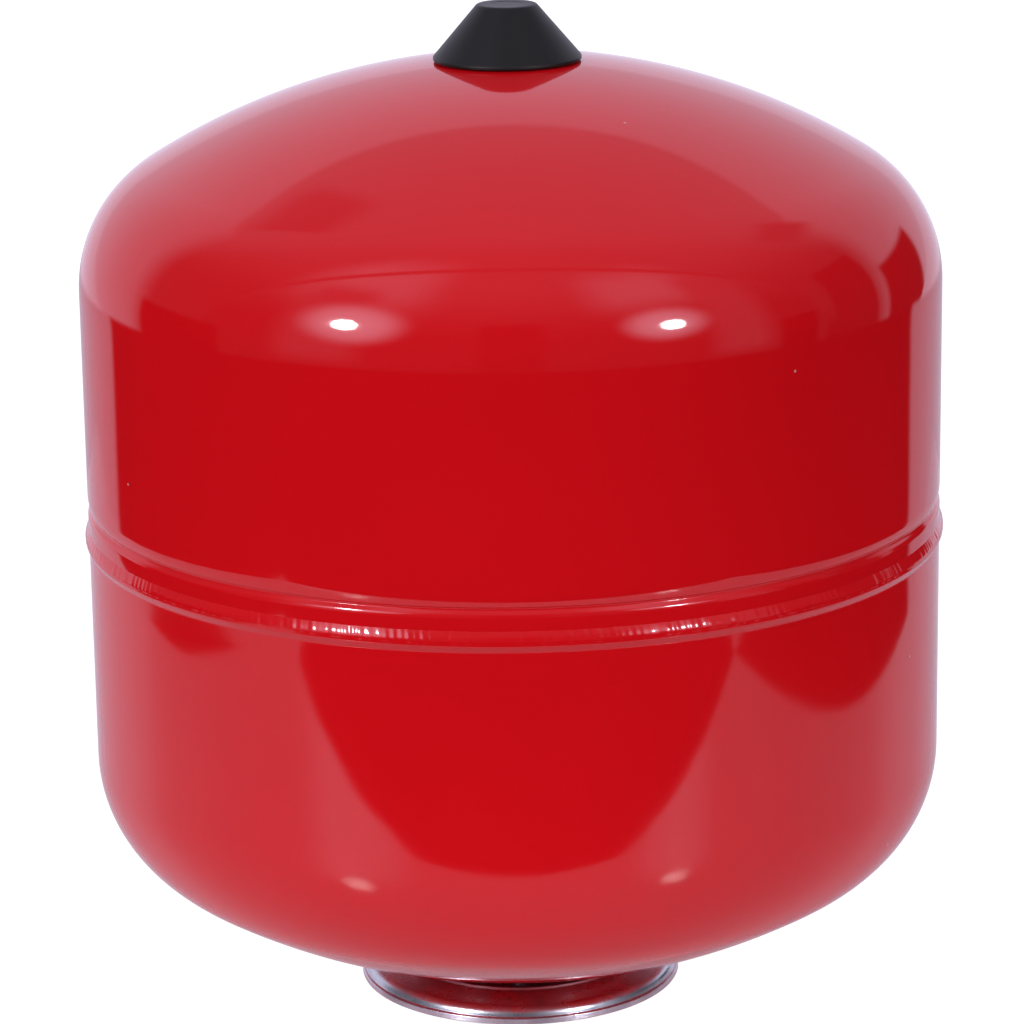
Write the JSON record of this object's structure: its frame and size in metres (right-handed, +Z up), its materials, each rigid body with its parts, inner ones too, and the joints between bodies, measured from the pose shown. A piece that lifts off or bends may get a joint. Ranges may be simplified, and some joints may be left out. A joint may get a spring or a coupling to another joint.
{
  "type": "heating expansion vessel",
  "caption": "Round welded steel heating expansion vessel with a bladder, bolted counterflange with pipe nipple, and a gas valve under a conical cover.",
  "frame": {"origin": "centre of the open end of the G 3/4 connection nipple, the lowest point, on the vessel's axis", "axes": "+Z up the vessel's axis from the pipe connection to the gas valve; +X and +Y are equal, the vessel being round"},
  "size_m": [0.3008, 0.3008, 0.367],
  "materials": {
    "red_enamel": "glossy baked red powder coat over pressed steel",
    "plated_steel": "bright zinc-plated pressed steel",
    "boss_steel": "bare turned steel",
    "valve_brass": "turned brass",
    "spring_steel": "drawn and hardened spring steel",
    "bladder_rubber": "moulded black EPDM",
    "valve_rubber": "moulded red-brown seal rubber",
    "cap_plastic": "moulded black plastic",
    "cover_plastic": "matt moulded black polypropylene"
  },
  "bodies": {
    "vessel": {"upper_shell": "red_enamel", "lower_shell": "red_enamel", "seam_weld": "red_enamel", "valve_boss": "boss_steel", "boss_weld": "red_enamel", "neck_ring": "red_enamel", "neck_ring_weld": "red_enamel", "bladder": "bladder_rubber", "counterflange": "plated_steel", "connection_nipple": "plated_steel", "nipple_weld": "plated_steel", "flange_bolts": "plated_steel", "flange_washers": "plated_steel", "spring_washers": "spring_steel", "valve_stem": "valve_brass", "stem_o_ring": "bladder_rubber", "core_body": "valve_brass", "core_gasket": "valve_rubber", "core_spring": "spring_steel"},
    "valve_cover": {"valve_cover": "cover_plastic"},
    "dust_cap_seal": {"dust_cap_seal": "bladder_rubber"},
    "dust_cap": {"dust_cap": "cap_plastic"},
    "core_pin": {"core_pin": "spring_steel", "core_seat_seal": "valve_rubber"}
  },
  "joints": [
    {"name": "valve_cover_lift", "type": "slide", "parent": "vessel", "child": "valve_cover", "axis": [0, 0, 1], "range_m": [0, 0.03]},
    {"name": "dust_cap_rise", "type": "slide", "parent": "vessel", "child": "dust_cap_seal", "axis": [0, 0, 1], "range_m": [0, 0.00476]},
    {"name": "dust_cap_turn", "type": "hinge", "parent": "dust_cap_seal", "child": "dust_cap", "pos_m": [0, 0, 0.3556], "axis": [0, 0, 1], "range_deg": [0, 2160]},
    {"name": "core_pin_press", "type": "slide", "parent": "vessel", "child": "core_pin", "axis": [0, 0, -1], "range_m": [0, 0.0012], "stiffness_N_per_m": 900, "springref_m": -0.0015, "deforming": ["core_spring"]}
  ],
  "couplings": [
    {"joint": "dust_cap_turn", "follows": "dust_cap_rise", "rad_per_m": 7913.3}
  ]
}
